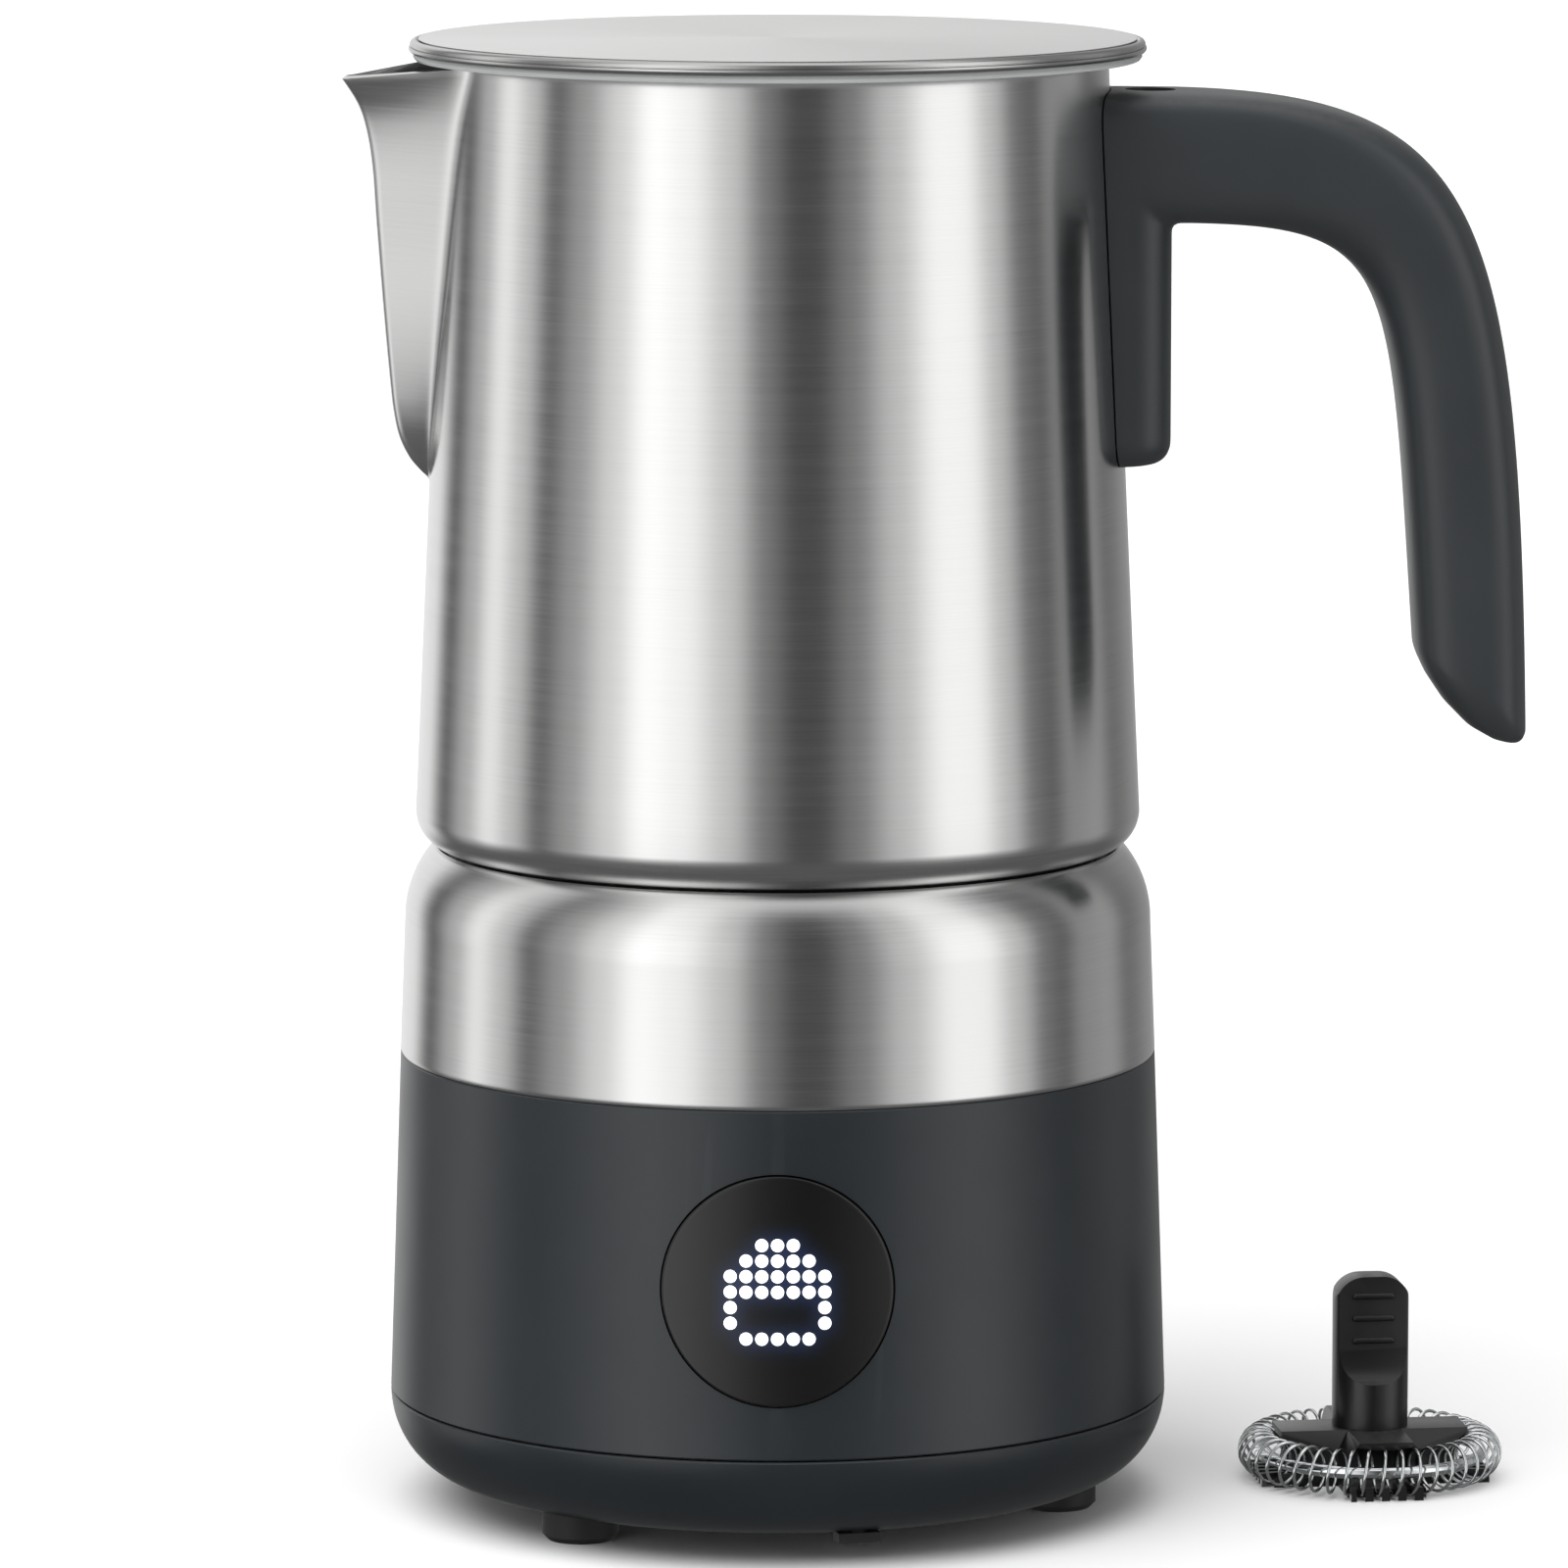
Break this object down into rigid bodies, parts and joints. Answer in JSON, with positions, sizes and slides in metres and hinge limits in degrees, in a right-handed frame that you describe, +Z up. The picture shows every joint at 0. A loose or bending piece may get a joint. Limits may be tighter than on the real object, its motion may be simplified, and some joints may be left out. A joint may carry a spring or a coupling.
{
  "type": "milk frother",
  "caption": "Countertop milk frother: a heated stirring base with a round display button, a lift-off steel jug with spout, handle and lid, and a coil whisk standing beside it.",
  "frame": {"origin": "on the table, on the axis that the base, the jug and the lid share", "axes": "+Z up, +X towards the jug's handle, -X towards its spout, -Y towards the display button, +Y towards the cord outlet"},
  "size_m": [0.1635, 0.1101, 0.204],
  "materials": {
    "charcoal_plastic": "fine satin moulded plastic",
    "black_plastic": "satin black plastic",
    "black_gloss": "smooth tinted plastic with lights behind it",
    "feet_rubber": "soft black rubber",
    "seal_silicone": "translucent silicone",
    "brushed_jug_steel": "brushed round the body",
    "plain_steel": "plain bright steel",
    "screw_steel": "zinc-plated steel",
    "polished_wire": "polished stainless wire",
    "lid_satin": "pale satin metal",
    "lid_plastic": "grey satin plastic",
    "carrier_plastic": "heat-resistant plastic",
    "board_laminate": "green lacquered circuit board",
    "part_plastic": "off-white connector plastic",
    "capacitor_sleeve": "dark shrink sleeve",
    "led_epoxy": "clear white light",
    "switch_body": "small switch",
    "copper_winding": "enamelled copper wire",
    "sink_aluminium": "extruded aluminium",
    "ferrite_dark": "pressed ferrite",
    "magnet_nickel": "nickel-plated magnet",
    "core_iron": "varnished laminated core and winding"
  },
  "bodies": {
    "base": {"bottom_pan": "charcoal_plastic", "pan_screws": "screw_steel", "rubber_feet": "feet_rubber", "anti_tip_pad": "feet_rubber", "base_body": "charcoal_plastic", "cord_gland": "black_plastic", "power_board": "board_laminate", "board_screws": "screw_steel", "heat_sink": "sink_aluminium", "filter_capacitor": "capacitor_sleeve", "choke_coil": "copper_winding", "mains_terminal": "part_plastic", "display_frame": "black_plastic", "frame_screws": "screw_steel", "display_board": "board_laminate", "led_matrix": "led_epoxy", "light_grid": "black_plastic", "button_switch": "switch_body", "button_springs": "screw_steel", "top_deck": "black_plastic", "deck_screws": "screw_steel", "shoulder_shell": "brushed_jug_steel", "coil_carrier": "carrier_plastic", "induction_coil": "copper_winding", "ferrite_bars": "ferrite_dark", "carrier_screws": "screw_steel", "sensor_spring": "screw_steel", "motor_bracket": "plain_steel", "motor_screws": "screw_steel", "motor_can": "plain_steel", "motor_magnets": "ferrite_dark", "motor_end_cap": "black_plastic"},
    "button": {"button_cap": "black_gloss"},
    "sensor": {"sensor_plunger": "plain_steel"},
    "rotor": {"motor_shaft": "plain_steel", "armature": "core_iron", "magnet_rotor": "carrier_plastic", "drive_magnets": "magnet_nickel"},
    "jug": {"jug_shell": "brushed_jug_steel", "induction_disc": "plain_steel", "whisk_spindle": "plain_steel", "handle_bracket": "plain_steel", "handle": "charcoal_plastic", "handle_screws": "screw_steel", "handle_plug": "black_plastic"},
    "lid": {"lid_cover": "lid_satin", "lid_liner": "lid_plastic", "lid_gasket": "seal_silicone"},
    "stirrer": {"stirrer_hub": "black_plastic", "stirrer_ring": "black_plastic", "stirrer_magnets": "magnet_nickel"},
    "whisk": {"whisk_hub": "black_plastic", "whisk_ring": "polished_wire", "whisk_coil": "polished_wire", "whisk_magnets": "magnet_nickel"}
  },
  "joints": [
    {"name": "button_press", "type": "slide", "parent": "base", "child": "button", "axis": [0, 1, 0], "range_m": [0, 0.001], "stiffness_N_per_m": 900, "springref_m": -0.0012, "deforming": ["button_springs"]},
    {"name": "sensor_press", "type": "slide", "parent": "base", "child": "sensor", "axis": [0, 0, 1], "range_m": [-0.0015, 0], "stiffness_N_per_m": 400, "springref_m": 0.0012, "deforming": ["sensor_spring"]},
    {"name": "rotor_spin", "type": "hinge", "parent": "base", "child": "rotor", "pos_m": [0, 0, 0.0832], "axis": [0, 0, 1], "continuous": true},
    {"name": "jug_lift", "type": "slide", "parent": "base", "child": "jug", "axis": [0, 0, 1], "range_m": [0, 0.1]},
    {"name": "lid_lift", "type": "slide", "parent": "jug", "child": "lid", "axis": [0, 0, 1], "range_m": [0, 0.05]},
    {"name": "stirrer_spin", "type": "hinge", "parent": "jug", "child": "stirrer", "pos_m": [0, 0, 0.0929], "axis": [0, 0, 1], "continuous": true},
    {"name": "whisk_lift", "type": "slide", "parent": "base", "child": "whisk", "axis": [0, 0, 1], "range_m": [0, 0.05]}
  ],
  "couplings": [
    {"joint": "stirrer_spin", "follows": "rotor_spin", "ratio": 1}
  ]
}
